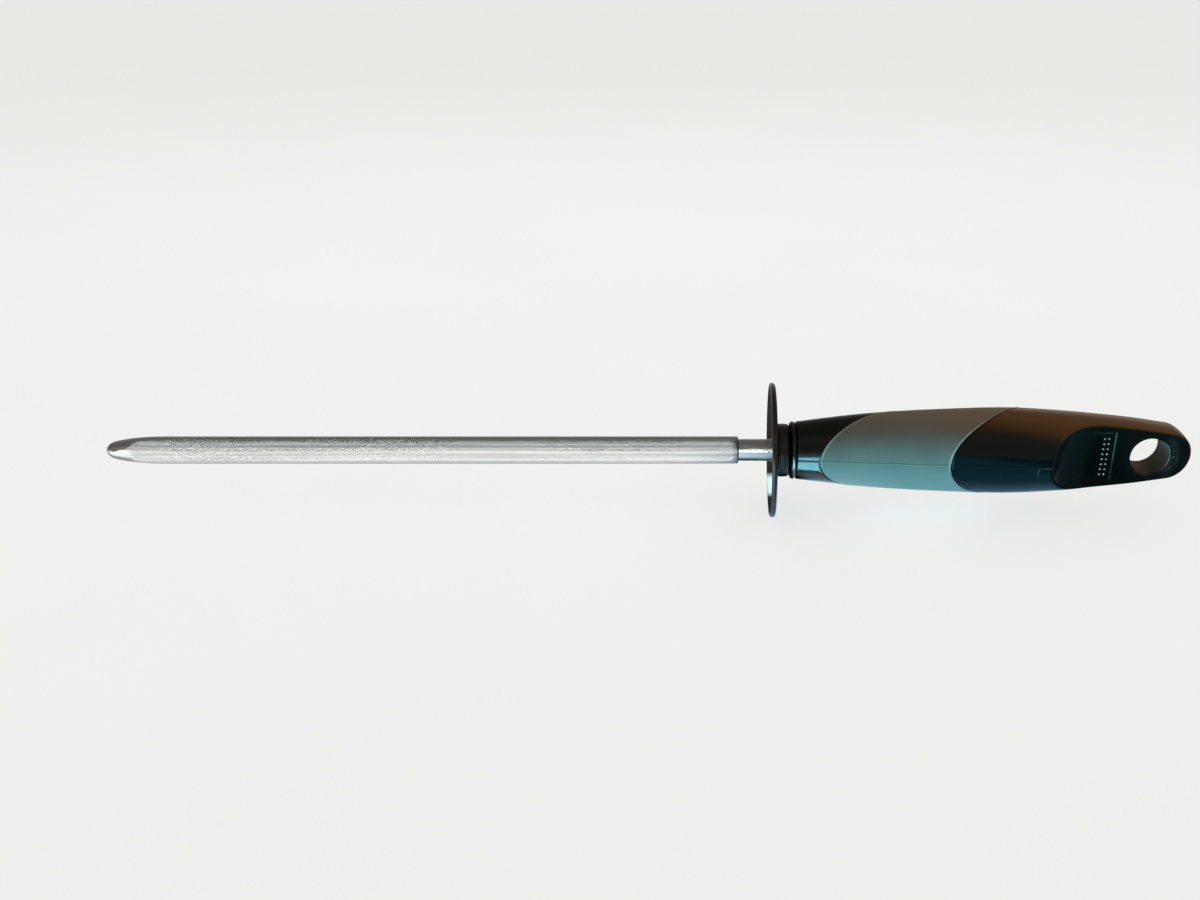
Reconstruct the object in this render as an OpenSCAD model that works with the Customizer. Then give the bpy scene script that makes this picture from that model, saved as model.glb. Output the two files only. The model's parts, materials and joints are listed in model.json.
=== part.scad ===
// Knife sharpening steel: a ridged round rod, a round guard, a two-piece bolster and a moulded handle with
// a soft grip. X runs along the rod, with the tip at -X and the handle's butt at +X. Y is square to the
// flat hanging tab, whose front faces -Y, and Z runs across the tab's width. The origin is the centre of
// the hanging hole, in the middle of the tab's thickness.

/* [Rod] */
// Length of the rod from its tip to the guard
rod_l = 228.6; // [200:0.1:260]
// Diameter over the ridges
rod_d = 9.4; // [9:0.1:10.4]
// Number of sharpening ridges round the rod
ridge_count = 60; // [40:2:80]
// Depth of the grooves between the ridges
groove_depth = 0.15; // [0.1:0.05:0.3]
// Length of the polished rounded nose
nose_l = 20; // [12:1:30]
// Diameter of the blunt end of the nose
nose_end_d = 3.6; // [2:0.1:5]
// Length of the plain neck between the ridges and the guard
neck_l = 10.8; // [6:0.1:16]
// Diameter of the plain neck
neck_d = 7.6; // [7.4:0.1:8.4]
// Depth to which the neck is let into the guard's front face
neck_seat = 0.4; // [0.2:0.1:0.8]
// Diameter of the tang inside the bolster and the handle
tang_d = 7; // [6:0.1:7.2]
// Length of the tang behind the guard's front face
tang_l = 84; // [70:1:88]
// Number of holding grooves round the tang
tang_grooves = 5; // [1:1:6]

/* [Guard and bolster] */
// Diameter of the guard disc
guard_d = 46.6; // [38:0.1:56]
// Thickness of the guard disc
guard_t = 1.9; // [1.5:0.1:3]
// Diameter of the bolster barrel
barrel_d = 18.4; // [16:0.1:19]
// Length of the bolster barrel
barrel_l = 5; // [4:0.1:8]
// Radius of the barrel's rounded edges
barrel_edge_r = 1.3; // [0.5:0.1:1.8]
// Diameter of the bolster ring
ring_d = 19.9; // [19:0.1:21]
// Length of the bolster ring along the rod
ring_l = 2; // [1.6:0.1:3]
// Radial clearance of the tang in the guard, the bolster and the handle
tang_clearance = 0.05; // [0.02:0.01:0.1]

/* [Lock washer] */
// Outside diameter of the toothed lock washer on the tang
washer_d = 13.4; // [12:0.1:14]
// Thickness of the lock washer
washer_t = 0.6; // [0.4:0.1:0.8]
// Number of teeth that grip the tang
washer_teeth = 8; // [6:1:10]

/* [Handle] */
// Length of the handle from the bolster ring to the butt
handle_l = 135.4; // [132:0.1:142]
// Width of the handle at its widest
handle_w = 29.9; // [28:0.1:32]
// Depth of the handle at its deepest, square to the tab
handle_depth = 29.2; // [28:0.1:31]
// Radius of the rounded front edge of the handle
front_edge_r = 0.6; // [0.3:0.1:1]

/* [Soft grip] */
// Thickness of the soft grip
grip_t = 2.2; // [1.6:0.1:2.6]
// Distance from the handle's front end to the point of the grip
grip_front = 7.6; // [5:0.1:10]
// Distance from the handle's front end to the rear edge of the grip, on the tab's front side
grip_rear = 52; // [46:0.1:56]
// Distance from the handle's front end to the rear edge of the grip, on the tab's back side
grip_stop = 82; // [76:0.5:83]
// Run of the slanted grip edges along the handle for each unit of depth
grip_slant = 1.85; // [1.4:0.05:2]
// Width of the dividing groove between the grip and the hard handle
grip_gap = 0.4; // [0.2:0.1:0.6]

/* [Hanging tab] */
// Thickness of the tab
tab_t = 11.2; // [8:0.1:13]
// Distance from the centre of the hanging hole to the butt
hole_to_butt = 14.5; // [14:0.1:17]
// Diameter of the hanging hole
hole_d = 13; // [10:0.1:14.4]
// Width of the chamfer round both mouths of the hole
hole_chamfer = 0.7; // [0.4:0.1:1.2]
// Radius of the tab's flat faces about the hole's centre
flat_r = 19.2; // [17:0.1:21]
// Radius of the concave sweeps that run down to the flat faces
dish_r = 19.6; // [17.5:0.1:21]
// Depth of the sunk panel in the front of the tab
panel_depth = 0.4; // [0.2:0.1:0.8]
// Radius of the rounded edges along the tab's sides and round its butt end
tab_edge_r = 1.9; // [1:0.1:3.4]
// Height of the raised pips in the sunk panel
pip_h = 0.3; // [0.1:0.05:0.4]
// Number of rows of pips across the panel
pip_rows = 8; // [2:1:8]

/* [Hidden] */
$fn = 96;

// Cuts run this far past the surfaces that they open.
over = 1;

// Places along X, from the butt back to the tip.
butt_x = hole_to_butt;
handle_x = butt_x - handle_l;
ring_x = handle_x - ring_l;
barrel_x = ring_x - barrel_l;
guard_x = barrel_x - guard_t;
tip_x = guard_x - rod_l;
tang_end_x = guard_x + tang_l;
tang_bore_r = tang_d / 2 + tang_clearance;

// The nose starts this far below the bottoms of the grooves.
nose_step = 0.1;

// Handle outline: share of the length, share of the half width, share of the half depth.
stations = [
    [0, 0.68, 0.62],
    [0.1, 0.80, 0.685],
    [0.2, 0.892, 0.745],
    [0.36, 0.97, 0.855],
    [0.54, 1, 0.96],
    [0.685, 0.91, 1],
    [0.845, 0.757, 1],
    [0.952, 0.6, 1]
];
last_station = len(stations) - 1;

// The butt is an arc in plan, from the last station's corners to the end of the handle.
corner_x = handle_x + handle_l * stations[last_station][0];
corner_w = handle_w / 2 * stations[last_station][1];
corner_l = butt_x - corner_x;
butt_r = (corner_l * corner_l + corner_w * corner_w) / (2 * corner_l);

// Grip edges on the handle's front side, and the limit of its rear edge on the back side.
grip_front_x = handle_x + grip_front;
grip_rear_x = handle_x + grip_rear;
grip_stop_x = handle_x + grip_stop;
grip_round = 24;
grip_bond = 0.03;

// The rounded edges are built this far outside the flat faces, which the dish cuts then trim.
edge_spare = 0.1;

// Points round one handle section, and rings along each zone of the handle.
ring_points = 44;
front_rings = 4;
grip_rings = 15;
rear_rings = 12;
butt_rings = 8;
butt_tip_angle = 87;

// Sunk panel on the front of the tab, between the concave sweep and the hole, and its pips.
panel_from = -flat_r - 1.5;
panel_to = -12.6;
panel_w = 17.6;
pip_d = 0.7;
pip_step = 1.9;
pip_columns = [-16.3, -14.8];

// Arc of n + 1 points about [x, y].
function arc(x, y, r, from, to, n) = [
    for (i = [0:n])
        let (a = from + (to - from) * i / n)
        [x + r * cos(a), y + r * sin(a)]
];

// Smooth curve through column c of the stations, at the share s of the handle's length.
function station_before(s, i = 0) =
    i >= last_station - 1 || s < stations[i + 1][0] ? i : station_before(s, i + 1);
function station_slope(i, c) =
    let (lo = max(i - 1, 0), hi = min(i + 1, last_station))
    (stations[hi][c] - stations[lo][c]) / (stations[hi][0] - stations[lo][0]);
function curve(s, c) =
    let (i = station_before(s))
    let (run = stations[i + 1][0] - stations[i][0])
    let (t = (s - stations[i][0]) / run)
    let (t2 = t * t, t3 = t * t * t)
    (2 * t3 - 3 * t2 + 1) * stations[i][c]
    + (3 * t2 - 2 * t3) * stations[i + 1][c]
    + (t3 - 2 * t2 + t) * run * station_slope(i, c)
    + (t3 - t2) * run * station_slope(i + 1, c);

// Half width and half depth of the handle at the place x.
function half_w(x) =
    x > corner_x
    ? sqrt(max(butt_r * butt_r - pow(x - butt_x + butt_r, 2), 0))
    : handle_w / 2 * curve((x - handle_x) / handle_l, 1);
function half_d(x) = handle_depth / 2 * curve((min(x, corner_x) - handle_x) / handle_l, 2);

// Distance from the point [x, z] out to the tab's outline in plan.
function plan_depth(x, z) =
    x > corner_x
    ? butt_r - norm([x - butt_x + butt_r, z])
    : half_w(x) - abs(z);

// Half thickness that the flat face, the sweep round it and the rounded outer edge leave at [x, z].
function half_limit(x, z) =
    let (run = min(max(norm([x, z]) - flat_r, 0), dish_r))
    let (into = min(max(tab_edge_r - plan_depth(x, z), 0), tab_edge_r))
    tab_t / 2 + edge_spare
    + dish_r - sqrt(dish_r * dish_r - run * run)
    - tab_edge_r + sqrt(tab_edge_r * tab_edge_r - into * into);

// Point of the section at x, at the angle t from the tab's front side, sunk below the surface by inset.
function section_point(x, t, inset) =
    let (depth = (half_d(x) - inset) * cos(t), z = (half_w(x) - inset) * sin(t))
    [x, -sign(depth) * min(abs(depth), half_limit(x, z)), z];

// Place of a slanted plane that starts at base on the front side, where it meets the handle at the angle t.
function slant_x(base, t, n = 5) =
    n == 0
    ? base
    : base + grip_slant * (half_d(base) - half_d(slant_x(base, t, n - 1)) * cos(t));
function soft_min(p, q, r) =
    let (h = max(r - abs(p - q), 0) / r)
    min(p, q) - h * h * r / 4;
function grip_start(t) = slant_x(grip_front_x, t);
function grip_end(t) = soft_min(slant_x(grip_rear_x, t), grip_stop_x, grip_round);

angles = [for (j = [0:ring_points - 1]) 360 * j / ring_points];

// Ring at the share u of the way between two edges, each given as a list of places round the section.
function ring_between(from, to, u, inset) = [
    for (j = [0:ring_points - 1])
        section_point(from[j] + (to[j] - from[j]) * u, angles[j], inset)
];
function level(x) = [for (t = angles) x];

starts = [for (t = angles) grip_start(t)];
ends = [for (t = angles) grip_end(t)];
sleeve_starts = [for (x = starts) x + grip_gap];
sleeve_ends = [for (x = ends) x - grip_gap];

// Solid skin over a list of rings: capped at both ends, or joined from the last ring to the first.
module skin(rings, joined = false) {
    count = len(rings);
    points = [for (ring = rings, p = ring) p];
    sides = [
        for (i = [0:count - (joined ? 1 : 2)], j = [0:ring_points - 1])
            let (next = (i + 1) % count, k = (j + 1) % ring_points)
            let (a = i * ring_points + j, b = i * ring_points + k)
            let (c = next * ring_points + k, d = next * ring_points + j)
            each [[a, c, b], [a, d, c]]
    ];
    first_cap = [for (j = [0:ring_points - 1]) j];
    last_cap = [for (j = [ring_points - 1:-1:0]) (count - 1) * ring_points + j];
    polyhedron(points, joined ? sides : concat([first_cap], sides, [last_cap]), convexity = 6);
}

// Turns a shape that stands on Z to run along X from the place x.
module along_x(x) {
    translate([x, 0, 0])
        rotate([0, 90, 0])
            children();
}

// Turned ring with the tang's bore, whose outline is given as [radius, place along the rod] points.
module turned_ring(x, outline) {
    along_x(x)
        rotate_extrude()
            polygon(outline);
}

module rod_nose() {
    end_r = nose_end_d / 2;
    base_r = rod_d / 2 - groove_depth - nose_step;
    bands = 10;
    outline = [
        for (i = [0:bands])
            let (a = 90 * i / bands)
            [end_r + (base_r - end_r) * sin(a), nose_l * (1 - cos(a))]
    ];
    along_x(tip_x)
        rotate_extrude()
            polygon(concat([[0, 0]], outline, [[0, nose_l]]));
}

module ridged_length() {
    crest_r = rod_d / 2;
    root_r = crest_r - groove_depth;
    corners = 2 * ridge_count;
    profile = [
        for (i = [0:corners - 1])
            let (r = i % 2 == 0 ? crest_r : root_r, a = 360 * i / corners)
            [r * cos(a), r * sin(a)]
    ];
    along_x(tip_x + nose_l)
        linear_extrude(rod_l - neck_l - nose_l)
            polygon(profile);
}

module tang() {
    groove_pitch = 8;
    groove_w = 2;
    groove_r = tang_d / 2 - 0.5;
    end_chamfer = 1;
    difference() {
        union() {
            along_x(guard_x)
                cylinder(h = tang_l - end_chamfer, d = tang_d);
            along_x(tang_end_x - end_chamfer)
                cylinder(h = end_chamfer, d1 = tang_d, d2 = tang_d - 2 * end_chamfer);
        }
        for (i = [1:tang_grooves])
            along_x(tang_end_x - groove_pitch * i)
                difference() {
                    cylinder(h = groove_w, d = tang_d + over);
                    cylinder(h = groove_w, r = groove_r);
                }
    }
}

module sharpening_rod() {
    color("silver")
        union() {
            rod_nose();
            ridged_length();
            along_x(guard_x - neck_l)
                cylinder(h = neck_l + neck_seat, d = neck_d);
            tang();
        }
}

// Guard disc with a rounded rim, and a step in its bore that takes the end of the rod's neck.
module guard_disc() {
    rim_r = guard_t / 2;
    seat_r = neck_d / 2 + tang_clearance;
    seat = [[tang_bore_r, neck_seat], [seat_r, neck_seat], [seat_r, 0]];
    rim = arc(guard_d / 2 - rim_r, rim_r, rim_r, -90, 90, 12);
    color([0.13, 0.12, 0.11])
        turned_ring(guard_x, concat(seat, rim, [[tang_bore_r, guard_t]]));
}

module bolster_barrel() {
    edge_x = barrel_d / 2 - barrel_edge_r;
    front_edge = arc(edge_x, barrel_edge_r, barrel_edge_r, -90, 0, 8);
    rear_edge = arc(edge_x, barrel_l - barrel_edge_r, barrel_edge_r, 0, 90, 8);
    bore = [[tang_bore_r, barrel_l], [tang_bore_r, 0]];
    color([0.12, 0.11, 0.1])
        turned_ring(barrel_x, concat(front_edge, rear_edge, bore));
}

module bolster_ring() {
    bead_r = ring_l / 2;
    bead = arc(ring_d / 2 - bead_r, bead_r, bead_r, -90, 90, 12);
    color([0.12, 0.11, 0.1])
        turned_ring(ring_x, concat([[tang_bore_r, 0]], bead, [[tang_bore_r, ring_l]]));
}

// Toothed push-on washer that holds the bolster on the tang, inside the handle's front end.
module lock_washer() {
    root_r = tang_d / 2 + 1.6;
    slot_w = 1;
    tooth_step = 360 / washer_teeth;
    color("gray")
        along_x(handle_x)
            difference() {
                cylinder(h = washer_t, d = washer_d);
                translate([0, 0, -over])
                    cylinder(h = washer_t + 2 * over, r = tang_bore_r);
                for (i = [0:washer_teeth - 1])
                    rotate(i * tooth_step)
                        translate([0, -slot_w / 2, -over])
                            cube([root_r, slot_w, washer_t + 2 * over]);
            }
}

// Hard handle before its openings are cut, with the bed for the soft grip sunk round its middle.
module handle_blank() {
    front = level(handle_x);
    corner = level(corner_x);
    skin(concat(
        [ring_between(front, front, 0, front_edge_r)],
        [
            for (i = [0:front_rings])
                ring_between(level(handle_x + front_edge_r), starts, i / front_rings, 0)
        ],
        [for (i = [0:grip_rings]) ring_between(starts, ends, i / grip_rings, grip_t)],
        [for (i = [0:rear_rings]) ring_between(ends, corner, i / rear_rings, 0)],
        [
            for (i = [1:butt_rings])
                let (from = asin(1 - corner_l / butt_r))
                let (a = from + (butt_tip_angle - from) * i / butt_rings)
                ring_between(corner, level(butt_x - butt_r + butt_r * sin(a)), 1, 0)
        ]
    ));
}

// Space beyond the tab's back face: a flat disc about the hole's axis, with the concave sweep round it.
module dish() {
    reach = handle_depth;
    sweep = arc(flat_r, tab_t / 2 + dish_r, dish_r, -90, -20, 14);
    rim_r = sweep[len(sweep) - 1][0];
    rotate([-90, 0, 0])
        rotate_extrude()
            polygon(concat([[0, tab_t / 2]], sweep, [[rim_r, reach], [0, reach]]));
}

module hanging_hole() {
    hole_r = hole_d / 2;
    rotate([90, 0, 0]) {
        cylinder(h = tab_t + 2 * over, r = hole_r, center = true);
        for (side = [0, 1])
            mirror([0, 0, side])
                translate([0, 0, tab_t / 2 - hole_chamfer])
                    cylinder(h = 2 * hole_chamfer, r1 = hole_r, r2 = hole_r + 2 * hole_chamfer);
    }
}

module sunk_panel() {
    translate([panel_from, -tab_t / 2 - over, -panel_w / 2])
        cube([panel_to - panel_from, panel_depth + over, panel_w]);
}

module pips() {
    for (x = pip_columns, i = [0:pip_rows - 1])
        translate([x, -tab_t / 2 + panel_depth + pip_h, (i - (pip_rows - 1) / 2) * pip_step])
            rotate([90, 0, 0])
                cylinder(h = 2 * pip_h, d = pip_d, $fn = 24);
}

module handle_core() {
    pocket_d = washer_d + 0.6;
    pocket_l = washer_t + 0.8;
    bore_end_x = tang_end_x + 0.5;
    color([0.05, 0.05, 0.05])
        union() {
            difference() {
                handle_blank();
                along_x(handle_x - over)
                    cylinder(h = bore_end_x - handle_x + over, r = tang_bore_r);
                along_x(handle_x - over)
                    cylinder(h = pocket_l + over, d = pocket_d);
                dish();
                mirror([0, 1, 0])
                    dish();
                hanging_hole();
                sunk_panel();
            }
            pips();
        }
}

// Soft sleeve moulded over the middle of the handle, between its two slanted edges.
module soft_grip() {
    color([0.4, 0.4, 0.38])
        skin(concat(
            [for (i = [0:grip_rings]) ring_between(sleeve_starts, sleeve_ends, i / grip_rings, 0)],
            [
                for (i = [grip_rings:-1:0])
                    ring_between(sleeve_starts, sleeve_ends, i / grip_rings, grip_t - grip_bond)
            ]
        ), joined = true);
}

sharpening_rod();
guard_disc();
bolster_barrel();
bolster_ring();
lock_washer();
handle_core();
soft_grip();
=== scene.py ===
"""Looks of the knife sharpening steel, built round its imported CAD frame. Metres, +Z up."""
import json
import math

import bmesh
import bpy
import numpy as np
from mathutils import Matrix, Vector


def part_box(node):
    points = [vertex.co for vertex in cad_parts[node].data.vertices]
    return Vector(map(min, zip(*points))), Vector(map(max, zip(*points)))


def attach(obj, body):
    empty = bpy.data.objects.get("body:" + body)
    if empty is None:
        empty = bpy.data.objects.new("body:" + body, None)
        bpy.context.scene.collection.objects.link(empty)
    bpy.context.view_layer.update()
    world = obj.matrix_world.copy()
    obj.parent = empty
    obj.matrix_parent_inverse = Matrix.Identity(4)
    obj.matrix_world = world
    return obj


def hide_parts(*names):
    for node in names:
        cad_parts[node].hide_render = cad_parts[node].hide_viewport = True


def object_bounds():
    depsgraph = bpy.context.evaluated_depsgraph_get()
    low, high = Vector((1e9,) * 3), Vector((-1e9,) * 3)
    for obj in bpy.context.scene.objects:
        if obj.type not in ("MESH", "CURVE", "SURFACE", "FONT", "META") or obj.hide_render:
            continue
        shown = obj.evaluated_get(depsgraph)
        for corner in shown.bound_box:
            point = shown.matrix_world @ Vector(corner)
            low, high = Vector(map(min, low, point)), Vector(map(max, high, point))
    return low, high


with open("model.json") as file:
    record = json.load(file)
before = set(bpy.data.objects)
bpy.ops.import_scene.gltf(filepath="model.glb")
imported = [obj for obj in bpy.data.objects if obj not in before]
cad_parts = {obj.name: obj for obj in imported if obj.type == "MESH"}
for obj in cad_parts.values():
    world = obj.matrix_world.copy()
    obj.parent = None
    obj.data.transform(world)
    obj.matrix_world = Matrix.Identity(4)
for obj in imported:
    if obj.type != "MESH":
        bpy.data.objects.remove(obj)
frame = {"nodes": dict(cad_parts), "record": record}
cad_low, cad_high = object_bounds()
MM = 0.001

# ---------------------------------------------------------------- sizes read from the frame

handle_low, handle_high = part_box("handle_core")
rod_low, rod_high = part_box("sharpening_rod")
guard_low, guard_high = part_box("guard_disc")
barrel_low, barrel_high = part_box("bolster_barrel")
ring_low, ring_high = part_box("bolster_ring")
_, washer_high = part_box("lock_washer")

mounts = {mount["name"]: mount for mount in frame["record"]["mounts"]}
HOLE_R = mounts["hang_hole"]["dims"]["r_mm"] * MM

FRONT_X = handle_low.x
BUTT_X = handle_high.x
HANDLE_L = BUTT_X - FRONT_X
INSIDE = 0.03 * MM
DEPTH_PER_WIDTH = 0.9766
HALF_WIDTH = (handle_high.z - handle_low.z) / 2 - INSIDE
HALF_DEPTH = HALF_WIDTH * DEPTH_PER_WIDTH
GUARD_X = guard_low.x
TIP_X = rod_low.x
TANG_END_X = rod_high.x
ROD_R = (rod_high.z - rod_low.z) / 2
TANG_R = 3.5 * MM
BORE_R = 3.55 * MM

# ---------------------------------------------------------------- handle shape

# Share of the handle's length, share of the half width, share of the half depth.
STATIONS = np.array([
    (0.000, 0.680, 0.620),
    (0.100, 0.800, 0.685),
    (0.200, 0.892, 0.745),
    (0.360, 0.970, 0.855),
    (0.540, 1.000, 0.960),
    (0.685, 0.910, 1.000),
    (0.845, 0.757, 1.000),
    (0.952, 0.600, 1.000),
])
CORNER_X = FRONT_X + HANDLE_L * STATIONS[-1, 0]
CORNER_W = HALF_WIDTH * STATIONS[-1, 1]
CORNER_L = BUTT_X - CORNER_X
BUTT_R = (CORNER_L**2 + CORNER_W**2) / (2 * CORNER_L)
TAB_T = 11.2 * MM
FLAT_R = 19.2 * MM
DISH_R = 19.6 * MM
TAB_EDGE_R = 1.9 * MM
FRONT_EDGE_R = 0.6 * MM
PANEL_DEPTH = 0.4 * MM
PANEL_TO = -12.6 * MM
PANEL_HALF_W = 8.8 * MM
PIP_COLUMNS = (-16.3 * MM, -14.8 * MM)
PIP_ROWS = 8
PIP_STEP = 1.9 * MM
PIP_R = 0.42 * MM
PIP_REACH = (PIP_ROWS - 1) / 2 * PIP_STEP
MARK_LEFT = -40.2 * MM
MARK_RIGHT = -35.4 * MM
MARK_TOP = -0.3 * MM
MARK_BOTTOM = -3.7 * MM
MARK_HEIGHT = 0.16 * MM
GRIP_T = 2.2 * MM
GRIP_GAP = 0.42 * MM
GRIP_SLANT = 1.85
GRIP_LIP_IN = 0.8 * MM
SEAM = 0.15 * MM
GRIP_SEAM = 0.12 * MM
SEAM_HALF_W = 0.22 * MM
GRIP_FRONT_X = FRONT_X + 7.6 * MM
GRIP_REAR_X = FRONT_X + 52.0 * MM
GRIP_STOP_X = FRONT_X + 82.0 * MM
GRIP_ROUND = 24.0 * MM


def curve(share, column):
    """Smooth curve through one column of the stations."""
    s, v = STATIONS[:, 0], STATIONS[:, column]
    slope = np.empty(len(s))
    slope[1:-1] = (v[2:] - v[:-2]) / (s[2:] - s[:-2])
    slope[0] = (v[1] - v[0]) / (s[1] - s[0])
    slope[-1] = (v[-1] - v[-2]) / (s[-1] - s[-2])
    i = np.clip(np.searchsorted(s, share, side="right") - 1, 0, len(s) - 2)
    run = s[i + 1] - s[i]
    t = (share - s[i]) / run
    return (
        (2 * t**3 - 3 * t**2 + 1) * v[i]
        + (3 * t**2 - 2 * t**3) * v[i + 1]
        + (t**3 - 2 * t**2 + t) * run * slope[i]
        + (t**3 - t**2) * run * slope[i + 1]
    )


def half_width(x):
    body = HALF_WIDTH * curve((np.minimum(x, CORNER_X) - FRONT_X) / HANDLE_L, 1)
    arc = np.sqrt(np.maximum(BUTT_R**2 - (x - BUTT_X + BUTT_R) ** 2, 0))
    return np.where(x > CORNER_X, arc, body)


def half_depth(x):
    return HALF_DEPTH * curve((np.minimum(x, CORNER_X) - FRONT_X) / HANDLE_L, 2)


def soft_min(p, q, r):
    """The lower of p and q, blended over the range r."""
    h = np.maximum(r - np.abs(p - q), 0) / r
    return np.minimum(p, q) - h * h * r / 4


def smooth_step(x, low, high):
    t = np.clip((x - low) / (high - low), 0, 1)
    return t * t * (3 - 2 * t)


def depth_limit(x, z):
    """Half the thickness left by the flat face, the sweep round it and the tab's rounded edge."""
    run = np.clip(np.hypot(x, z) - FLAT_R, 0, DISH_R * 0.999)
    sweep = TAB_T / 2 + DISH_R - np.sqrt(DISH_R**2 - run**2)
    inside = np.where(x > CORNER_X, BUTT_R - np.hypot(x - BUTT_X + BUTT_R, z), half_width(x) - np.abs(z))
    into = np.clip(TAB_EDGE_R - inside, 0, TAB_EDGE_R)
    return sweep - TAB_EDGE_R + np.sqrt(TAB_EDGE_R**2 - into**2)


def slant_x(base, t):
    """Where the slanted plane that starts at base on the front side meets the handle at the angle t."""
    x = np.full_like(t, base)
    for _ in range(12):
        x = base + GRIP_SLANT * (half_depth(base) - half_depth(x) * np.cos(t))
    return x


# Angles round the section from the front side, closer together near the parting line on both sides.
RING_POINTS = 384
EVEN_ANGLES = np.linspace(0, 2 * math.pi, RING_POINTS, endpoint=False)
ANGLES = EVEN_ANGLES - 0.36 * np.sin(2 * EVEN_ANGLES)
GRIP_START = slant_x(GRIP_FRONT_X, ANGLES)
GRIP_END = soft_min(slant_x(GRIP_REAR_X, ANGLES), GRIP_STOP_X, GRIP_ROUND)


def panel_sink(x, z):
    """Shallow panel in the tab's front: square round the pips, fading out into the sweep."""
    soft = 0.2 * MM
    fade_in = smooth_step(x, -27.5 * MM, -21.5 * MM)
    end = 1 - smooth_step(x, PANEL_TO - soft, PANEL_TO + soft)
    across = 1 - smooth_step(np.abs(z), PANEL_HALF_W - soft, PANEL_HALF_W + soft)
    return PANEL_DEPTH * fade_in * end * across


def mark_height(x, z):
    """Moulding mark: a low raised pad under the parting line, just before the dish."""
    soft = 0.5 * MM
    start = smooth_step(x, MARK_LEFT, MARK_LEFT + soft)
    end = 1 - smooth_step(x, MARK_RIGHT - soft, MARK_RIGHT)
    lower = smooth_step(z, MARK_BOTTOM, MARK_BOTTOM + soft)
    upper = 1 - smooth_step(z, MARK_TOP - 0.4 * MM, MARK_TOP)
    return MARK_HEIGHT * start * end * lower * upper


def section(x, inset=0.0, seam=0.0):
    """Ring of points at the places x, sunk by inset. The front of the tab faces -Y."""
    x = np.broadcast_to(np.asarray(x, float), ANGLES.shape)
    depth = (half_depth(x) - inset) * np.cos(ANGLES)
    width = (half_width(x) - inset) * np.sin(ANGLES)
    depth = depth + mark_height(x, width) * (depth > 0)
    thickness = soft_min(np.abs(depth), depth_limit(x, width), 0.5 * MM)
    depth = np.sign(depth) * (thickness - panel_sink(x, width) * (depth > 0))
    if seam:
        ridge = np.exp(-((width / SEAM_HALF_W) ** 2)) * seam
        depth = depth + np.sign(np.cos(ANGLES)) * ridge
    return np.stack([x, -depth, width], axis=1)


def circle(x, r):
    return np.stack([np.full_like(ANGLES, x), -r * np.cos(ANGLES), r * np.sin(ANGLES)], axis=1)


# ---------------------------------------------------------------- mesh tools

def link(name, mesh):
    obj = bpy.data.objects.new(name, mesh)
    bpy.context.scene.collection.objects.link(obj)
    return obj


def link_bmesh(name, bm):
    mesh = bpy.data.meshes.new(name)
    bm.to_mesh(mesh)
    bm.free()
    return link(name, mesh)


def grid_mesh(name, rings, wrap=False):
    """Closed skin over equal rings. Ends are joined to each other, or capped."""
    rings = np.asarray(rings)
    rows, count = rings.shape[:2]
    index = np.arange(rows * count).reshape(rows, count)
    a = index if wrap else index[:-1]
    b = np.roll(index, -1, axis=0) if wrap else index[1:]
    quads = np.stack([a, b, np.roll(b, -1, axis=1), np.roll(a, -1, axis=1)], axis=2).reshape(-1, 4)
    faces = quads.tolist()
    if not wrap:
        faces.append(index[0].tolist())
        faces.append(index[-1][::-1].tolist())
    mesh = bpy.data.meshes.new(name)
    mesh.from_pydata(rings.reshape(-1, 3).tolist(), [], faces)
    clean(mesh)
    return link(name, mesh)


def clean(mesh, merge=0.002 * MM):
    bm = bmesh.new()
    bm.from_mesh(mesh)
    bmesh.ops.remove_doubles(bm, verts=bm.verts, dist=merge)
    bmesh.ops.dissolve_degenerate(bm, edges=bm.edges, dist=merge)
    bmesh.ops.recalc_face_normals(bm, faces=bm.faces)
    bm.to_mesh(mesh)
    bm.free()


def lathe(name, outline, segments=256, axis="X"):
    """Turned piece: outline is a closed loop of (place along the axis, radius) points."""
    turn = np.linspace(0, 2 * math.pi, segments, endpoint=False)
    along = np.array([p[0] for p in outline])[:, None] * np.ones(segments)
    radius = np.array([p[1] for p in outline])[:, None]
    one, two = radius * np.cos(turn), radius * np.sin(turn)
    parts = [along, one, two] if axis == "X" else [two, along, one]
    return grid_mesh(name, np.stack(parts, axis=2), wrap=True)


def arc(x, r, radius, start, end, steps):
    """Points (place, radius) along an arc, in degrees."""
    return [
        (
            x + radius * math.cos(math.radians(start + (end - start) * i / steps)),
            r + radius * math.sin(math.radians(start + (end - start) * i / steps)),
        )
        for i in range(steps + 1)
    ]


def smooth_grid(rings, weight, rounds):
    """Relaxes a grid of rings towards its neighbours, by weight."""
    points = np.array(rings)
    w = weight[..., None]
    for _ in range(rounds):
        around = (np.roll(points, 1, axis=1) + np.roll(points, -1, axis=1)) / 2
        along = points.copy()
        along[1:-1] = (points[2:] + points[:-2]) / 2
        points = points + w * 0.5 * ((around + along) / 2 - points)
    return points


def boolean(obj, cutter, operation):
    """Cuts or joins with another object, which is then removed."""
    modifier = obj.modifiers.new("cut", "BOOLEAN")
    modifier.operation = operation
    modifier.solver = "MANIFOLD"
    modifier.object = cutter
    graph = bpy.context.evaluated_depsgraph_get()
    mesh = bpy.data.meshes.new_from_object(obj.evaluated_get(graph))
    obj.modifiers.clear()
    obj.data = mesh
    bpy.data.objects.remove(cutter)


def finish_piece(obj, material, sharp=35.0, replaces=()):
    mesh = obj.data
    mesh.shade_smooth()
    mesh.set_sharp_from_angle(angle=math.radians(sharp))
    mesh.materials.clear()
    mesh.materials.append(material)
    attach(obj, "root")
    if replaces:
        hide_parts(*replaces)
    return obj


# ---------------------------------------------------------------- material tools

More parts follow.
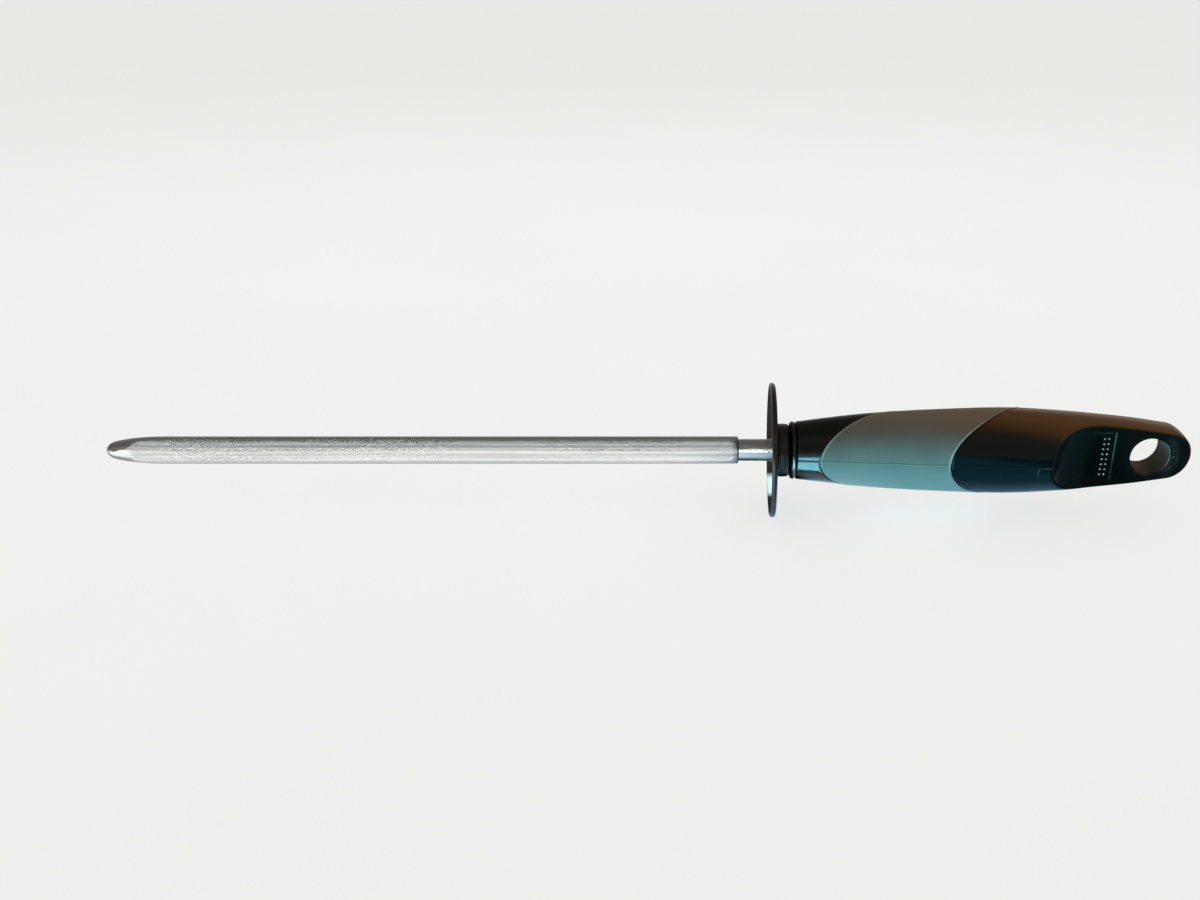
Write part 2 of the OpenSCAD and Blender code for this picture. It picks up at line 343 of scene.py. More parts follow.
class Nodes:
    """Short way to write a node tree that works from one kind of coordinates."""

    def __init__(self, tree, coordinates="Object"):
        self.tree = tree
        self.place = self.add("ShaderNodeTexCoord").outputs[coordinates]

    def add(self, kind, **values):
        node = self.tree.nodes.new(kind)
        for key, value in values.items():
            setattr(node, key, value)
        return node

    def wire(self, source, target):
        self.tree.links.new(source, target)

    def axes(self):
        node = self.add("ShaderNodeSeparateXYZ")
        self.wire(self.place, node.inputs["Vector"])
        return node.outputs

    def noise(self, scale, detail=4.0, roughness=0.55, stretch=(1, 1, 1)):
        place = self.add("ShaderNodeMapping")
        place.inputs["Scale"].default_value = stretch
        self.wire(self.place, place.inputs["Vector"])
        node = self.add("ShaderNodeTexNoise")
        node.inputs["Scale"].default_value = scale
        node.inputs["Detail"].default_value = detail
        node.inputs["Roughness"].default_value = roughness
        self.wire(place.outputs["Vector"], node.inputs["Vector"])
        return node.outputs["Fac"]

    def remap(self, value, low, high, from_low=0.3, from_high=0.7):
        node = self.add("ShaderNodeMapRange")
        node.inputs["From Min"].default_value = from_low
        node.inputs["From Max"].default_value = from_high
        node.inputs["To Min"].default_value = low
        node.inputs["To Max"].default_value = high
        self.wire(value, node.inputs["Value"])
        return node.outputs["Result"]

    def math(self, operation, a, b=0.0):
        node = self.add("ShaderNodeMath", operation=operation)
        for socket, value in zip(node.inputs, (a, b)):
            if isinstance(value, (int, float)):
                socket.default_value = value
            else:
                self.wire(value, socket)
        return node.outputs["Value"]

    def product(self, first, *others):
        for other in others:
            first = self.math("MULTIPLY", first, other)
        return first

    def highest(self, first, *others):
        for other in others:
            first = self.math("MAXIMUM", first, other)
        return first

    def length(self, a, b):
        square = self.math("ADD", self.math("POWER", a, 2.0), self.math("POWER", b, 2.0))
        return self.math("SQRT", square)

    def near(self, value, place, reach):
        """1 at the place, falling to 0 at the reach."""
        gap = self.math("ABSOLUTE", self.math("SUBTRACT", value, place))
        return self.remap(gap, 1, 0, reach * 0.4, reach)

    def band(self, value, low, full_from, full_to, high):
        """1 between full_from and full_to, falling to 0 at low and at high."""
        return self.product(self.remap(value, 0, 1, low, full_from), self.remap(value, 1, 0, full_to, high))

    def mix(self, factor, one, two):
        node = self.add("ShaderNodeMix", data_type="RGBA")
        self.wire(factor, node.inputs["Factor"])
        for socket, value in ((node.inputs[6], one), (node.inputs[7], two)):
            if isinstance(value, tuple):
                socket.default_value = (*value, 1)
            else:
                self.wire(value, socket)
        return node.outputs[2]

    def bump(self, height, strength, distance, normal=None):
        node = self.add("ShaderNodeBump")
        node.inputs["Strength"].default_value = strength
        node.inputs["Distance"].default_value = distance
        self.wire(height, node.inputs["Height"])
        if normal is not None:
            self.wire(normal, node.inputs["Normal"])
        return node.outputs["Normal"]

    def glow(self, colour):
        node = self.add("ShaderNodeEmission")
        self.wire(colour, node.inputs["Color"])
        return node.outputs[0]


class MaterialNodes(Nodes):
    """Node tree of a new material, with its principled shader."""

    def __init__(self, name):
        self.material = bpy.data.materials.new(name)
        self.material.use_nodes = True
        super().__init__(self.material.node_tree)
        self.shader = self.tree.nodes["Principled BSDF"]

    def set(self, **inputs):
        for key, value in inputs.items():
            socket = self.shader.inputs[key.replace("_", " ")]
            if isinstance(value, (int, float)):
                socket.default_value = value
            elif isinstance(value, tuple):
                socket.default_value = (*value, 1)
            else:
                self.wire(value, socket)

    def show(self, shader):
        self.wire(shader, self.tree.nodes["Material Output"].inputs["Surface"])


def rod_steel():
    """Satin steel with fine lengthwise lines; the nose and the neck are polished."""
    n = MaterialNodes("rod_steel")
    lines = n.noise(1000, 3, 0.6, (0.02, 1, 1))
    broken = n.noise(1900, 2, 0.55, (0.7, 1, 1))
    patches = n.noise(90, 3, 0.5, (0.4, 1, 1))
    x, _, _ = n.axes()
    nose = n.remap(x, 1, 0, TIP_X + 6 * MM, TIP_X + 9 * MM)
    neck = n.remap(x, 0, 1, GUARD_X - 11 * MM, GUARD_X - 10.6 * MM)
    polish = n.product(n.highest(nose, neck), 0.12)
    ragged = n.product(broken, n.remap(patches, 0, 1, 0.4, 0.65))
    n.set(
        Base_Color=n.mix(n.remap(lines, 0, 1), (0.56, 0.56, 0.55), (0.72, 0.72, 0.71)),
        Metallic=1.0,
        Roughness=n.math("SUBTRACT", n.remap(patches, 0.15, 0.25), polish),
        Normal=n.bump(ragged, 1.0, 0.24 * MM, n.bump(lines, 0.35, 0.05 * MM)),
    )
    return n.material


def dark_metal(name, colour, roughness):
    """Dark polished metal with faint turning marks and handling haze."""
    n = MaterialNodes(name)
    x, y, z = n.axes()
    along = n.math("ADD", n.length(y, z), n.product(x, 0.45))
    turning = n.math("SINE", n.product(along, 2 * math.pi / (0.35 * MM)))
    haze = n.noise(120, 4, 0.6)
    grain = n.noise(2500, 2, 0.5)
    n.set(
        Base_Color=n.mix(n.remap(haze, 0, 1), colour, tuple(c * 1.3 for c in colour)),
        Metallic=1.0,
        Roughness=n.remap(haze, roughness, roughness + 0.09),
        Normal=n.bump(grain, 0.05, 0.01 * MM, n.bump(turning, 0.06, 0.02 * MM)),
    )
    return n.material


def panel_edge_highlight(n, x, z):
    """Painted highlight on the panel's edge towards the hole, and a painted highlight line along its top."""
    edge = 0.2 * MM
    aside = n.math("ABSOLUTE", z)
    end = n.product(
        n.near(x, PANEL_TO, edge),
        n.remap(z, 0.1, 0.7, -3 * MM, MM),
        n.remap(aside, 1, 0, PANEL_HALF_W, PANEL_HALF_W + edge),
    )
    top = n.product(
        n.near(z, PANEL_HALF_W, edge),
        n.remap(x, 0, 0.4, -26 * MM, -16 * MM),
        n.remap(x, 1, 0, PANEL_TO, PANEL_TO + edge),
    )
    return n.highest(end, top)


def pip_crown_highlight(n, x, y, z, highlight_breakup):
    """Painted highlights on the crowns of the pips."""
    aside = n.math("ABSOLUTE", z)
    return n.product(
        n.remap(y, 1, 0, -TAB_T / 2 + 0.12 * MM, -TAB_T / 2 + 0.25 * MM),
        n.remap(x, 0, 1, PIP_COLUMNS[0] - 0.7 * MM, PIP_COLUMNS[0] - 0.5 * MM),
        n.remap(x, 1, 0, PIP_COLUMNS[1] + 0.5 * MM, PIP_COLUMNS[1] + 0.7 * MM),
        n.remap(aside, 1, 0, PIP_REACH + 0.95 * MM, PIP_REACH + 1.15 * MM),
        n.remap(highlight_breakup, 0.5, 1.6),
    )


def hole_highlights(n, x, radius, highlight_breakup):
    """Painted glint on the hole's rim on the butt's side, and fine curved streaks of painted highlight
    beside it.
    """
    butt_side = n.remap(n.math("DIVIDE", x, radius), 0, 1, 0.5, 0.85)
    rim = n.product(n.near(radius, HOLE_R + 0.3 * MM, 0.2 * MM), butt_side)
    drift = n.product(n.noise(300, 3, 0.6), 3.2 * MM)
    arcs = n.math("SINE", n.product(n.math("ADD", radius, drift), 2 * math.pi / (0.62 * MM)))
    # Curved streaks of painted highlight around the hole.
    highlight_streaks = n.product(
        n.remap(arcs, 0, 1, 0.45, 1.0),
        n.remap(highlight_breakup, 0.1, 1.4),
        n.band(radius, HOLE_R + 0.6 * MM, HOLE_R + 1.1 * MM, HOLE_R + 1.8 * MM, HOLE_R + 4.2 * MM),
        butt_side,
    )
    return n.highest(rim, n.product(highlight_streaks, 0.7))


def mark_edge_highlight(n, x, z):
    """Faint painted highlights on the left and top edges of the moulding mark."""
    edge = 0.2 * MM
    left = n.product(n.near(x, MARK_LEFT, edge), n.near(z, (MARK_TOP + MARK_BOTTOM) / 2, 2.6 * MM))
    top = n.product(n.near(z, MARK_TOP, edge), n.near(x, (MARK_LEFT + MARK_RIGHT) / 2, 3.4 * MM))
    return n.product(n.highest(left, top), 0.3)


def handle_plastic():
    """Glossy black moulding: faint waviness and grain, painted highlights on the tab's front, and the hole's
    wall painted paler for the light it reflects.
    """
    n = MaterialNodes("handle_plastic")
    waves = n.noise(160, 2, 0.5)
    grain = n.noise(3500, 2, 0.5)
    rubbed = n.noise(55, 5, 0.65)
    highlight_breakup = n.noise(1100, 2, 0.5)
    x, y, z = n.axes()
    radius = n.length(x, z)
    front = n.remap(y, 1, 0, -3.4 * MM, -3.0 * MM)
    # Painted highlights on the tab's front: the panel's edges, the hole's rim with curved streaks, and the
    # mark's edges.
    painted_highlights = n.highest(panel_edge_highlight(n, x, z), hole_highlights(n, x, radius, highlight_breakup), mark_edge_highlight(n, x, z))
    wall = n.remap(radius, 1, 0, HOLE_R + 0.02 * MM, HOLE_R + 0.14 * MM)
    sill = n.product(
        n.near(z, -PANEL_HALF_W, 0.5 * MM),
        n.remap(x, 1, 0, PANEL_TO, PANEL_TO + 0.3 * MM),
        front,
        n.remap(x, 0, 1, -30 * MM, -25 * MM),
    )
    matt = n.highest(wall, sill)
    colour = n.mix(n.remap(rubbed, 0, 1), (0.0009, 0.001, 0.001), (0.0018, 0.0019, 0.002))
    # The hole's wall is painted paler: painted reflection of the bright surround on the black plastic.
    colour = n.mix(wall, colour, (0.06, 0.055, 0.046))
    colour = n.mix(n.product(painted_highlights, front), colour, (0.1, 0.088, 0.084))
    n.set(
        # Painted highlights: the pip crowns get a paler colour.
        Base_Color=n.mix(n.product(pip_crown_highlight(n, x, y, z, highlight_breakup), front), colour, (0.32, 0.27, 0.25)),
        Roughness=n.math("ADD", n.remap(rubbed, 0.1, 0.2), n.product(matt, 0.3)),
        Specular_IOR_Level=n.remap(matt, 0.42, 0.1, 0, 1),
        Normal=n.bump(grain, 0.12, 0.01 * MM, n.bump(waves, 0.06, 0.1 * MM)),
    )
    return n.material


def grip_rubber():
    """Satin soft-touch moulding with a fine matt grain. The upper half of its lips is painted paler as a
    highlight.
    """
    n = MaterialNodes("grip_rubber")
    grain = n.noise(4200, 3, 0.6)
    tone = n.noise(70, 4, 0.6)
    x, y, z = n.axes()
    slanted = n.math("SUBTRACT", x, n.product(y, GRIP_SLANT))
    lips = []
    for base, step_in in ((GRIP_FRONT_X, GRIP_LIP_IN), (GRIP_REAR_X, -GRIP_LIP_IN)):
        middle = base + GRIP_SLANT * float(half_depth(base)) + step_in
        gap = n.math("ABSOLUTE", n.math("SUBTRACT", slanted, middle))
        lips.append(n.remap(gap, 0.9, 0, 0.3 * MM, 0.7 * MM))
    # Painted highlight: the upper half of the lips gets a paler colour.
    lip = n.product(n.highest(*lips), n.remap(z, 0, 1, -3 * MM, 2 * MM))
    plain = n.mix(n.remap(tone, 0, 1), (0.096, 0.1, 0.096), (0.112, 0.117, 0.112))
    n.set(
        Base_Color=n.mix(lip, plain, (0.27, 0.27, 0.245)),
        Roughness=n.remap(tone, 0.48, 0.6),
        Normal=n.bump(grain, 0.25, 0.02 * MM),
        Sheen_Weight=0.08,
    )
    return n.material


def washer_steel():
    """Plain spring steel."""
    n = MaterialNodes("washer_steel")
    haze = n.noise(300, 4, 0.6)
    n.set(
        Base_Color=n.mix(n.remap(haze, 0, 1), (0.4, 0.4, 0.41), (0.52, 0.52, 0.53)),
        Metallic=1.0,
        Roughness=n.remap(haze, 0.3, 0.45),
        Normal=n.bump(haze, 0.1, 0.05 * MM),
    )
    return n.material


# ---------------------------------------------------------------- rod

RIDGES = 60
GROOVE = 0.1 * MM
NOSE_L = 20.0 * MM
NOSE_END_R = 1.8 * MM
TIP_EDGE_R = 0.5 * MM
NECK_L = 10.8 * MM
NECK_R = 3.8 * MM
NECK_SEAT = 0.4 * MM
TANG_GROOVES = 5
TANG_GROOVE_STEP = 8.0 * MM
TANG_GROOVE_W = 2.0 * MM
TANG_GROOVE_DEPTH = 0.5 * MM


def build_rod():
    """Ridged bar: blunt elliptical nose, ridged length, plain neck and grooved tang."""
    valley = np.tile([1.0, 0.4, 0.05, 0.0, 0.0, 0.0, 0.05, 0.4], RIDGES)
    turn = np.linspace(0, 2 * math.pi, len(valley), endpoint=False)

    def ring(x, r, groove=0.0):
        radius = r - groove * valley
        return np.stack([np.full_like(turn, x), -radius * np.cos(turn), radius * np.sin(turn)], axis=1)

    root = ROD_R - GROOVE * 0.5
    rings = [ring(TIP_X, 0.2 * MM)]
    for a in np.radians(np.linspace(0, 90, 7)):
        x = TIP_X + TIP_EDGE_R * (1 - math.cos(a))
        rings.append(ring(x, NOSE_END_R - TIP_EDGE_R * (1 - math.sin(a))))
    for a in np.radians(np.linspace(0, 90, 61)[1:]):
        x = TIP_X + TIP_EDGE_R + (NOSE_L - TIP_EDGE_R) * (1 - math.cos(a))
        r = NOSE_END_R + (root - NOSE_END_R) * math.sin(a)
        fade = float(smooth_step(x, TIP_X + 6 * MM, TIP_X + 13 * MM))
        rings.append(ring(x, r + GROOVE * 0.5 * fade, GROOVE * fade))
    end = GUARD_X - NECK_L
    for x in np.linspace(TIP_X + NOSE_L, end - 0.3 * MM, 80)[1:]:
        rings.append(ring(x, ROD_R, GROOVE))
    rings.append(ring(end - 0.05 * MM, ROD_R - 0.3 * MM, GROOVE * 0.3))
    rings.append(ring(end, ROD_R - 0.45 * MM))
    rings.append(ring(end, NECK_R + 0.15 * MM))
    rings.append(ring(end + 0.15 * MM, NECK_R))
    for x in np.linspace(end + 0.3 * MM, GUARD_X + NECK_SEAT, 8):
        rings.append(ring(x, NECK_R))
    rings.append(ring(GUARD_X + NECK_SEAT, TANG_R))
    for i in range(TANG_GROOVES, 0, -1):
        x = TANG_END_X - TANG_GROOVE_STEP * i
        low_r = TANG_R - TANG_GROOVE_DEPTH
        far_x = x + TANG_GROOVE_W
        rings += [ring(x, TANG_R), ring(x, low_r), ring(far_x, low_r), ring(far_x, TANG_R)]
    rings.append(ring(TANG_END_X - MM, TANG_R))
    rings.append(ring(TANG_END_X, TANG_R - MM))
    rod = grid_mesh("rod", rings)
    return finish_piece(rod, rod_steel(), 50, ["sharpening_rod"])


# ---------------------------------------------------------------- guard and bolster

BOLSTER_FACE_R = 6.0 * MM


def build_guard():
    """Thin disc with a round rim, and a stepped bore that seats the rod's neck."""
    r = guard_high.z
    half = (guard_high.x - guard_low.x) / 2
    middle = (guard_high.x + guard_low.x) / 2
    seat_r = NECK_R + BORE_R - TANG_R
    outline = [(GUARD_X + NECK_SEAT, BORE_R), (GUARD_X + NECK_SEAT, seat_r), (GUARD_X, seat_r)]
    outline += [(GUARD_X, p * MM) for p in (4.2, 6, 10, 14, 18, 21)]
    outline += arc(middle, r - half, half, 180, 0, 24)
    outline += [(guard_high.x, p * MM) for p in (21, 18, 14, 10, 6, 4)]
    outline += [(guard_high.x, BORE_R)]
    guard = lathe("guard", outline, 320)
    metal = dark_metal("guard_metal", (0.08, 0.076, 0.07), 0.09)
    return finish_piece(guard, metal, 40, ["guard_disc"])


def build_barrel(metal):
    """Short barrel with a faint crown and rounded ends."""
    low, high, r = barrel_low.x, barrel_high.x, barrel_high.z
    edge = 1.5 * MM
    crown = 0.35 * MM
    middle = (low + high) / 2
    outline = [(low, BORE_R), (low, BOLSTER_FACE_R)]
    outline += arc(low + edge, r - edge, edge, 180, 105, 12)
    for x in np.linspace(low + 1.2 * MM, high - 1.2 * MM, 9):
        outline.append((x, r - crown * ((x - middle) / (high - middle)) ** 2))
    outline += arc(high - edge, r - edge, edge, 75, 0, 12)
    outline += [(high, BOLSTER_FACE_R), (high, BORE_R)]
    return finish_piece(lathe("barrel", outline), metal, 40, ["bolster_barrel"])


def build_bead_ring(metal):
    """Narrow ring with a half-round outside."""
    low, high, r = ring_low.x, ring_high.x, ring_high.z
    bead = (high - low) / 2
    outline = [(low, BORE_R), (low, BOLSTER_FACE_R)]
    outline += arc((low + high) / 2, r - bead, bead, 180, 0, 24)
    outline += [(high, BOLSTER_FACE_R), (high, BORE_R)]
    return finish_piece(lathe("bead_ring", outline), metal, 40, ["bolster_ring"])


# ---------------------------------------------------------------- handle

def between(start, end, share):
    return start + (end - start) * share


def edge_rings(edge, side):
    """Rings over a groove's rounded edge and down its wall: side +1 goes down towards +X, -1 comes up."""
    r = 0.26 * MM
    rings = []
    for a in np.radians((0, 30, 60, 90)):
        rings.append(section(edge - side * r * (1 - math.sin(a)), r * (1 - math.cos(a)), seam=SEAM))
    rings.append(section(edge, GRIP_T))
    return rings if side > 0 else rings[::-1]


def build_handle():
    """Hard moulding from the bore for the tang, over the front end and the bed, to the butt."""
    bore_end = TANG_END_X + 0.5 * MM
    pocket_x = washer_high.x + 0.8 * MM
    pocket_r = washer_high.z + 0.3 * MM
    rings = [circle(bore_end, 0.3 * MM), circle(bore_end, BORE_R), circle(pocket_x, BORE_R)]
    rings += [circle(pocket_x, pocket_r), circle(FRONT_X, pocket_r)]
    for a in np.radians(np.linspace(0, 90, 7)):
        rings.append(section(FRONT_X + FRONT_EDGE_R * (1 - math.cos(a)), FRONT_EDGE_R * (1 - math.sin(a))))
    for share in np.linspace(0, 1, 42)[1:-1]:
        rings.append(section(between(FRONT_X + FRONT_EDGE_R, GRIP_START - 0.4 * MM, share), seam=SEAM))
    rings += edge_rings(GRIP_START, 1)
    for share in np.linspace(0, 1, 30)[1:-1]:
        rings.append(section(between(GRIP_START, GRIP_END, share), GRIP_T))
    rings += edge_rings(GRIP_END, -1)
    sweep_x = -38.0 * MM
    for share in np.linspace(0, 1, 90)[1:]:
        rings.append(section(between(GRIP_END + 0.4 * MM, sweep_x, share), seam=SEAM))
    for x in np.linspace(sweep_x, CORNER_X, 200)[1:]:
        rings.append(section(x, seam=SEAM * float(1 - smooth_step(x, sweep_x + MM, sweep_x + 2.2 * MM))))
    turn = math.asin(1 - CORNER_L / BUTT_R)
    for share in np.linspace(0, 1, 33)[1:]:
        a = turn + (math.pi / 2 - turn) * share
        rings.append(section(min(BUTT_X - BUTT_R + BUTT_R * math.sin(a), BUTT_X - 1e-7)))
    rings = np.array(rings)
    x = rings[:, :, 0]
    gap = (np.abs(half_depth(x) * np.cos(ANGLES)) - depth_limit(x, rings[:, :, 2])) / MM
    crease = np.exp(-((gap / 1.2) ** 2)) * smooth_step(x, sweep_x - 3 * MM, sweep_x + MM)
    crease = crease * (1 - smooth_step(x, BUTT_X - 1.5 * MM, BUTT_X - 0.5 * MM))
    rings = smooth_grid(rings, crease, 14)
    handle = grid_mesh("handle", rings)
    cut_hole(handle)
    add_pips(handle)
    return finish_piece(handle, handle_plastic(), 42, ["handle_core"])


def cut_hole(handle):
    """Round hole along Y whose mouths are rounded over."""
    fillet = 0.9 * MM
    half = TAB_T / 2 + 0.02 * MM
    far = TAB_T
    front = arc(half - fillet, HOLE_R + fillet, fillet, 270, 350, 10)
    outline = [(far, 0.01 * MM), (far, front[-1][1] + 0.6 * MM)]
    outline += front[::-1]
    outline += [(-p, r) for p, r in front]
    outline += [(-far, front[-1][1] + 0.6 * MM), (-far, 0.01 * MM)]
    cutter = lathe("hole_cutter", outline, 192, "Y")
    boolean(handle, cutter, "DIFFERENCE")


def add_pips(handle):
    """Two columns of small raised domes in the panel."""
    bm = bmesh.new()
    for x in PIP_COLUMNS:
        for i in range(PIP_ROWS):
            made = bmesh.ops.create_uvsphere(bm, u_segments=20, v_segments=12, radius=PIP_R)
            for v in made["verts"]:
                v.co.y *= 0.75
                v.co += Vector((x, -TAB_T / 2 + PANEL_DEPTH, i * PIP_STEP - PIP_REACH))
    boolean(handle, link_bmesh("pip_set", bm), "UNION")


def lip_rings(edge, side):
    """Rings over the grip's rounded lip and low bead: side +1 leaves the edge towards +X, -1 comes to it."""
    lip = 0.3 * MM
    bead = 0.1 * MM
    rings = []
    for a in np.radians(np.linspace(0, 90, 7)):
        x = edge + side * lip * (1 - math.cos(a))
        rings.append(section(x, lip * (1 - math.sin(a)) - bead, seam=GRIP_SEAM))
    for run in (0.45, 0.6, 0.8, 1.0):
        height = bead * (1 - float(smooth_step(run, 0.4, 1.0)))
        rings.append(section(edge + side * run * MM, -height, seam=GRIP_SEAM))
    return rings if side > 0 else rings[::-1]


def build_grip():
    """Soft sleeve between the two slanted grooves, with rounded lips."""
    start = GRIP_START + GRIP_GAP
    end = GRIP_END - GRIP_GAP
    rings = lip_rings(start, 1)
    for share in np.linspace(0, 1, 110)[1:-1]:
        rings.append(section(between(start + MM, end - MM, share), seam=GRIP_SEAM))
    rings += lip_rings(end, -1)
    for share in np.linspace(1, 0, 20):
        rings.append(section(between(start, end, share), GRIP_T - INSIDE))
    grip = grid_mesh("grip", rings, wrap=True)
    return finish_piece(grip, grip_rubber(), 50, ["soft_grip"])


# ---------------------------------------------------------------- stage

def mirrored_room(n):
    """Colour that mirror images of the floor show: pale up to the guard, then cool, and dark at the butt."""
    x, y, _ = n.axes()
    under = n.remap(y, 0, 1, -21 * MM, -14 * MM)
    front_end = n.band(x, -122 * MM, -117 * MM, -98 * MM, -80 * MM)
    by_guard = n.band(x, -160 * MM, -145 * MM, -120 * MM, -112 * MM)
    left = n.mix(under, (1.35, 1.4, 1.42), (0.42, 0.44, 0.47))
    right = n.mix(under, (0.05, 0.37, 0.56), n.mix(front_end, (0.2, 0.5, 0.76), (1.0, 1.3, 1.6)))
    colour = n.mix(n.remap(x, 0, 1, GUARD_X - 30 * MM, GUARD_X + 16 * MM), left, right)
    colour = n.mix(n.remap(x, 0, 1, -32 * MM, -8 * MM), colour, (0.0, 0.03, 0.03))
    colour = n.mix(n.remap(x, 0, 1, 4 * MM, 14 * MM), colour, (0.05, 0.13, 0.14))
    behind = n.product(n.remap(x, 0, 1, -75 * MM, -55 * MM), n.remap(y, 0, 1, MM, 6 * MM))
    colour = n.mix(behind, colour, (0.34, 0.31, 0.27))
    dim = n.product(by_guard, n.remap(y, 0, 1, -8 * MM, -4 * MM))
    colour = n.mix(dim, colour, (0.035, 0.03, 0.02))
    before_guard = n.remap(x, 1, 0, GUARD_X - 1.2 * MM, GUARD_X)
    strip = n.product(by_guard, n.band(y, 10 * MM, 14 * MM, 25 * MM, 30 * MM), before_guard)
    return n.mix(strip, colour, (1.1, 1.6, 1.6))


def build_floor():
    """Pale paper, whose mirror images in the object show the room of the photo."""
    bm = bmesh.new()
    bmesh.ops.create_grid(bm, x_segments=8, y_segments=8, size=25.0)
    floor = link_bmesh("floor", bm)
    floor.location.z = cad_low.z - 0.2 * MM
    n = MaterialNodes("floor_paper")
    tone = n.noise(6, 3, 0.5)
    n.set(
        Base_Color=n.mix(n.remap(tone, 0, 1), (0.5, 0.5, 0.495), (0.53, 0.53, 0.525)),
        Roughness=0.8,
        Normal=n.bump(n.noise(900, 3, 0.5), 0.05, 0.1 * MM),
        Emission_Color=(0.99, 0.99, 1.0),
        Emission_Strength=0.66,
    )
    mix = n.add("ShaderNodeMixShader")
    n.wire(n.add("ShaderNodeLightPath").outputs["Is Glossy Ray"], mix.inputs[0])
    n.wire(n.shader.outputs[0], mix.inputs[1])
    n.wire(n.glow(mirrored_room(n)), mix.inputs[2])
    n.show(mix.outputs[0])
    floor.data.materials.append(n.material)
    return floor


def light_only(obj, name, pieces, shadows=True):
    """Makes a light reach the given pieces alone."""
    group = bpy.data.collections.new(name)
    for piece in pieces:
        group.objects.link(piece)
    obj.light_linking.receiver_collection = group
    if shadows:
        obj.light_linking.blocker_collection = group


def area_light(name, pieces, place, target, size, power, colour, mirror=False):
    """Soft box for the given pieces alone. It gives either diffuse light or a mirror image."""
    light = bpy.data.lights.new(name, "AREA")
    light.shape = "RECTANGLE"
    light.size, light.size_y = size
    light.energy = power
    light.color = colour
    obj = bpy.data.objects.new(name, light)
    bpy.context.scene.collection.objects.link(obj)
    obj.location = place
    obj.rotation_euler = (target - place).to_track_quat("-Z", "Y").to_euler()
    obj.visible_glossy = mirror
    obj.visible_diffuse = not mirror
    light_only(obj, name + "_on", pieces)


# Colours that mirror images show of the surround, by degrees from the horizon in front, over the top.
SURROUND = [
    (0.0, (0.2, 0.2, 0.14)),
    (30.0, (0.2, 0.2, 0.16)),
    (44.0, (0.24, 0.24, 0.22)),
    (80.0, (0.13, 0.128, 0.125)),
    (140.0, (0.15, 0.148, 0.145)),
    (180.0, (0.35, 0.34, 0.32)),
]


def build_world():
    """Soft surround: mirror images show it dim, and the camera sees a pale tone."""
    world = bpy.data.worlds.new("studio")
    bpy.context.scene.world = world
    world.use_nodes = True
    world.node_tree.nodes.clear()
    n = Nodes(world.node_tree, "Generated")
    _, y, z = n.axes()
    angle = n.math("ARCTAN2", z, n.product(y, -1.0))
    ramp = n.add("ShaderNodeValToRGB")
    while len(ramp.color_ramp.elements) < len(SURROUND):
        ramp.color_ramp.elements.new(0.5)
    for element, (degrees, colour) in zip(ramp.color_ramp.elements, SURROUND):
        element.position = degrees / 180
        element.color = (*colour, 1)
    n.wire(n.remap(angle, 0, 1, 0, math.pi), ramp.inputs["Fac"])
    path = n.add("ShaderNodeLightPath")
    colour = n.mix(path.outputs["Is Glossy Ray"], (0.3, 0.295, 0.24), ramp.outputs["Color"])
    colour = n.mix(path.outputs["Is Camera Ray"], colour, (0.84, 0.84, 0.835))
    background = n.add("ShaderNodeBackground")
    n.wire(colour, background.inputs["Color"])
    n.wire(background.outputs[0], n.add("ShaderNodeOutputWorld").inputs["Surface"])


DOME_R = 3.0


def dome_glow():
    """Warm glow that is clear from below, strongest overhead, and reaches lower towards +X."""
    n = MaterialNodes("warm_dome_glow")
    x, y, z = n.axes()
    degrees = n.product(n.math("ARCTAN2", z, n.product(y, -1.0)), 180 / math.pi)
    reach = n.math("SQRT", n.math("ADD", n.math("POWER", x, 2.0), DOME_R * DOME_R))
    side = n.math("DIVIDE", x, reach)
    raised = n.product(n.remap(degrees, 0, 36, 12, 32), n.remap(side, 0, 1, 0.3, 0.5))
    warmth = n.product(
        n.remap(n.math("ADD", degrees, raised), 0, 1, 50, 90),
        n.remap(side, 0, 1, 0.06, 0.25),
        n.remap(degrees, 1, 0.35, 115, 150),
    )
    both = n.add("ShaderNodeAddShader")
    n.wire(n.glow(n.mix(warmth, (0.0, 0.0, 0.0), (1.2, 0.5, 0.1))), both.inputs[0])
    n.wire(n.add("ShaderNodeBsdfTransparent").outputs[0], both.inputs[1])
    n.show(both.outputs[0])
    n.material.cycles.emission_sampling = "NONE"
    return n.material


def build_warm_dome(pieces):
    """Half cylinder overhead, along X, that the given pieces alone mirror."""
    turn = np.radians(np.linspace(2, 178, 45))
    bm = bmesh.new()
    grid = []
    for x in np.linspace(0.1, 9.0, 24):
        grid.append([bm.verts.new((x, -DOME_R * math.cos(a), DOME_R * math.sin(a))) for a in turn])
    for first, second in zip(grid, grid[1:]):
        for i in range(len(turn) - 1):
            bm.faces.new((first[i], first[i + 1], second[i + 1], second[i]))
    dome = link_bmesh("warm_dome", bm)
    dome.data.materials.append(dome_glow())
    light_only(dome, "warm_dome_on", pieces, shadows=False)
    dome.visible_camera = False
    dome.visible_diffuse = False
    dome.visible_shadow = False


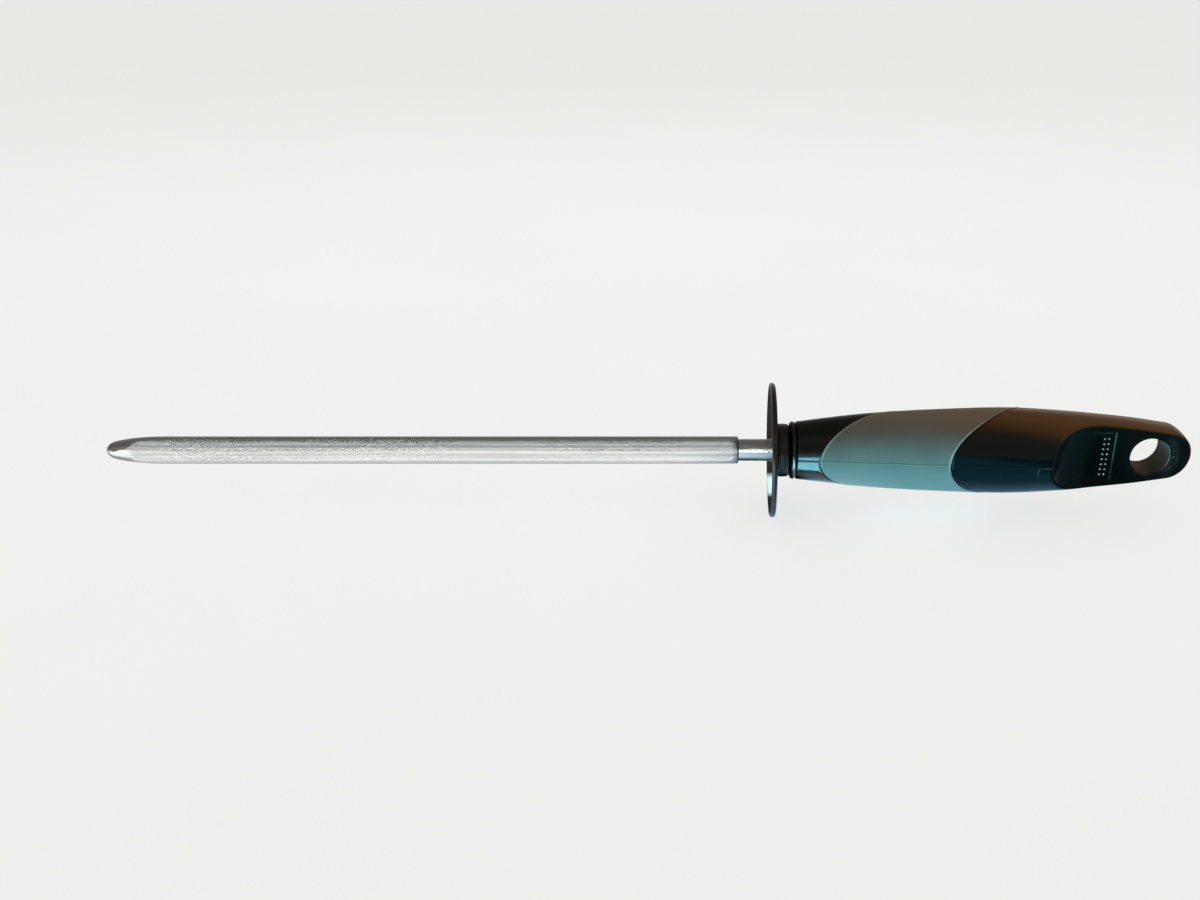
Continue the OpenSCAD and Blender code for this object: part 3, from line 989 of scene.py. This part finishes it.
def build_lights(floor, rod, bead_ring, handle, grip):
    """Warm light from above and cool light from below on the handle, and plain light on the rest."""
    centre = Vector(((cad_low.x + cad_high.x) / 2, 0, 0))
    grasp = Vector((-0.06, 0, 0))
    both = [handle, grip]
    place = centre + Vector((0, 0.45, 0.9))
    area_light("top_box", [floor], place, centre, (1.2, 0.6), 2.1, (0.9, 0.95, 1.0))
    place = centre + Vector((-0.55, -1.0, 0.12))
    area_light("front_box", both, place, centre, (1.0, 0.3), 1.5, (1.0, 0.98, 0.82))
    place = centre + Vector((0.1, 0.35, 0.9))
    area_light("warm_top", both, place, grasp, (1.0, 0.6), 2.5, (1.0, 0.68, 0.3))
    place = Vector((-0.08, -0.38, -0.45))
    area_light("low_fill", both, place, grasp, (0.5, 0.3), 8.2, (0.13, 0.86, 1.0))
    place = Vector((-0.112, -0.073, cad_low.z))
    above = place + Vector((0, 0, 1))
    area_light("glare", [handle, bead_ring], place, above, (0.034, 0.104), 0.18, (0.29, 0.84, 1.0), True)
    place = Vector((-0.6, -1.0, 0.21))
    behind = place + Vector((0, 1, 0))
    area_light("rod_strip", [rod], place, behind, (1.9, 0.5), 5.8, (0.97, 1.0, 1.0), True)


def build_camera():
    """Camera square to the rod, just in front of the guard, looking down on the tab's front side."""
    elevation = math.radians(25)
    distance = 0.3585
    stand_x = GUARD_X - 16 * MM
    camera = bpy.data.cameras.new("camera")
    camera.sensor_width = 36
    camera.lens = 31.05
    camera.shift_x = -0.1025
    camera.clip_start = 0.01
    obj = bpy.data.objects.new("camera", camera)
    bpy.context.scene.collection.objects.link(obj)
    obj.location = (stand_x, -distance * math.cos(elevation), distance * math.sin(elevation))
    obj.rotation_euler = (math.pi / 2 - elevation, 0, 0)
    bpy.context.scene.camera = obj


rod = build_rod()
build_guard()
bolster_metal = dark_metal("bolster_metal", (0.06, 0.055, 0.05), 0.2)
build_barrel(bolster_metal)
bead_ring = build_bead_ring(bolster_metal)
handle = build_handle()
grip = build_grip()
washer = frame["nodes"]["lock_washer"]
washer.data.materials.clear()
washer.data.materials.append(washer_steel())
floor = build_floor()
build_world()
build_warm_dome([handle, grip])
build_lights(floor, rod, bead_ring, handle, grip)
build_camera()
bpy.context.scene.view_settings.view_transform = "Standard"
